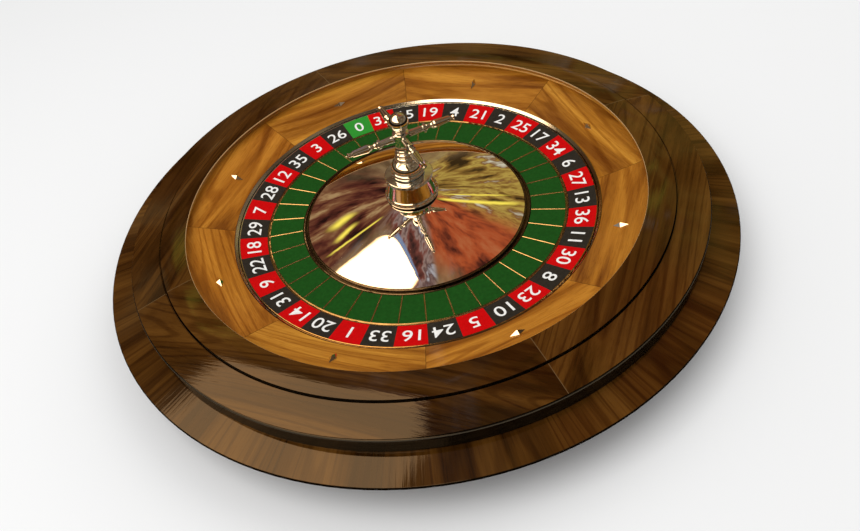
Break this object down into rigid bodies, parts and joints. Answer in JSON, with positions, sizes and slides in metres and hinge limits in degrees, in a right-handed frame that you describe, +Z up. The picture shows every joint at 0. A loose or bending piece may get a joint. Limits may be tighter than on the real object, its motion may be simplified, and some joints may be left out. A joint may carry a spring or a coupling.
{
  "type": "roulette wheel",
  "caption": "Full-size single-zero roulette wheel: lacquered wood bowl with ball track and deflectors, and a ball-bearing rotor with numbers, pockets, mirror cone and turret.",
  "frame": {"origin": "centre of the underside of the felt ring, on the spindle axis", "axes": "+Z up along the spindle; a rim joint and a deflector that lies along the rim stand on +X"},
  "size_m": [0.8124, 0.8124, 0.2195],
  "materials": {
    "felt": "dense wool felt",
    "plywood": "sealed birch plywood",
    "walnut": "book-matched walnut under clear gloss lacquer",
    "ebonised": "ebonised and lacquered",
    "amber_wood": "quarter-sawn amber hardwood under clear gloss lacquer",
    "chrome": "mirror polished",
    "gilt": "polished, lacquered",
    "steel": "turned",
    "bearing_steel": "ground and polished",
    "cage_brass": "machined",
    "rotor_board": "sealed laminated board",
    "carrier": "machined",
    "red_enamel": "flat bright enamel",
    "black_enamel": "flat dark enamel",
    "green_enamel": "flat light green enamel",
    "numeral_white": "screen-printed enamel",
    "pocket_green": "flat dark green enamel"
  },
  "bodies": {
    "bowl": {"base_felt": "felt", "base_board": "plywood", "base_screws": "steel", "spindle": "steel", "spindle_bolts": "steel", "spindle_washer": "steel", "spindle_nut": "steel", "bearing_spacer": "steel", "bowl_wall": "walnut", "flange_ring": "walnut", "rim_segment_1": "walnut", "rim_segment_2": "walnut", "rim_segment_3": "walnut", "rim_segment_4": "walnut", "rim_riser": "ebonised", "ball_track": "amber_wood", "apron_segment_1": "amber_wood", "apron_segment_2": "amber_wood", "apron_segment_3": "amber_wood", "apron_segment_4": "amber_wood", "apron_segment_5": "amber_wood", "apron_segment_6": "amber_wood", "apron_segment_7": "amber_wood", "apron_segment_8": "amber_wood", "rim_deflector_1": "chrome", "rim_deflector_2": "chrome", "rim_deflector_3": "chrome", "rim_deflector_4": "chrome", "cross_deflector_1": "chrome", "cross_deflector_2": "chrome", "cross_deflector_3": "chrome", "cross_deflector_4": "chrome", "well_ring": "chrome", "lower_inner_race": "bearing_steel", "upper_inner_race": "bearing_steel"},
    "rotor": {"rotor_hub": "steel", "hub_bolts": "steel", "rotor_disc": "rotor_board", "number_ring": "carrier", "red_panels": "red_enamel", "black_panels": "black_enamel", "zero_panel": "green_enamel", "outer_trim_ring": "chrome", "pocket_ring": "pocket_green", "pocket_frets": "gilt", "middle_trim_ring": "gilt", "inner_trim_ring": "gilt", "cone": "chrome", "turret_base": "chrome", "turret_dome": "chrome", "turret_neck": "chrome", "arm_hub": "chrome", "turret_arms": "chrome", "finial": "chrome", "lower_outer_race": "bearing_steel", "upper_outer_race": "bearing_steel"},
    "lower_cage_set": {"lower_cage": "cage_brass", "lower_balls": "bearing_steel"},
    "upper_cage_set": {"upper_cage": "cage_brass", "upper_balls": "bearing_steel"}
  },
  "joints": [
    {"name": "rotor_spin", "type": "hinge", "parent": "bowl", "child": "rotor", "pos_m": [0, 0, 0.06], "axis": [0, 0, 1], "continuous": true},
    {"name": "lower_cage_spin", "type": "hinge", "parent": "bowl", "child": "lower_cage_set", "pos_m": [0, 0, 0.036], "axis": [0, 0, 1], "continuous": true},
    {"name": "upper_cage_spin", "type": "hinge", "parent": "bowl", "child": "upper_cage_set", "pos_m": [0, 0, 0.085], "axis": [0, 0, 1], "continuous": true}
  ],
  "couplings": [
    {"joint": "lower_cage_spin", "follows": "rotor_spin", "ratio": 0.6},
    {"joint": "upper_cage_spin", "follows": "rotor_spin", "ratio": 0.6}
  ]
}
